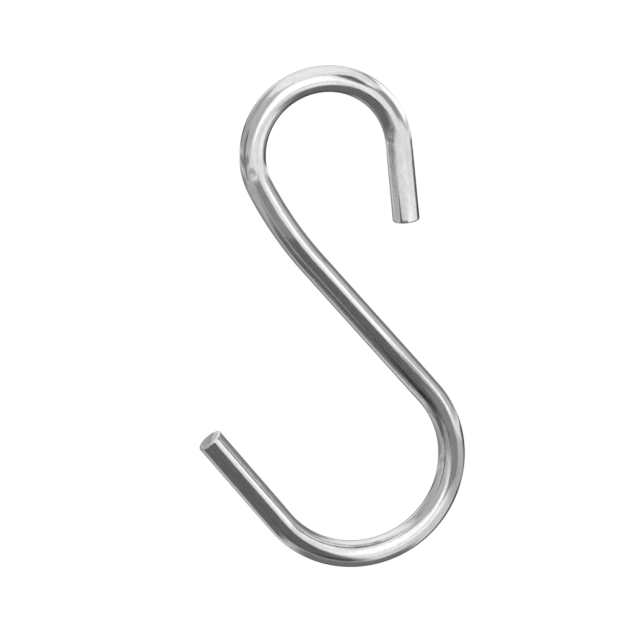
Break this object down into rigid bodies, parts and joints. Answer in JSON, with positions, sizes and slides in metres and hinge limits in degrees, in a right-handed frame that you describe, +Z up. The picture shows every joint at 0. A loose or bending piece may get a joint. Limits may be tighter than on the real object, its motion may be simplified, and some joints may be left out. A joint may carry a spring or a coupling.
{
  "type": "s hook",
  "caption": "Round steel wire bent flat into an S: a small closed bow that hangs on a rail and a wide open bow below it that carries the load.",
  "frame": {"origin": "the seat on the inside of the upper bow, at its crown, in the middle of the wire's thickness, where the rail bears", "axes": "+Z up along the line through the centres of both bows, +Y along the rail and through the flat of the hook, +X from the leg towards the upper end"},
  "size_m": [0.0395, 0.004, 0.076],
  "materials": {
    "bright_wire": "bright drawn steel wire, polished, with fine lines along the wire and dull cut ends"
  },
  "bodies": {
    "root": {"hook": "bright_wire"}
  },
  "joints": []
}
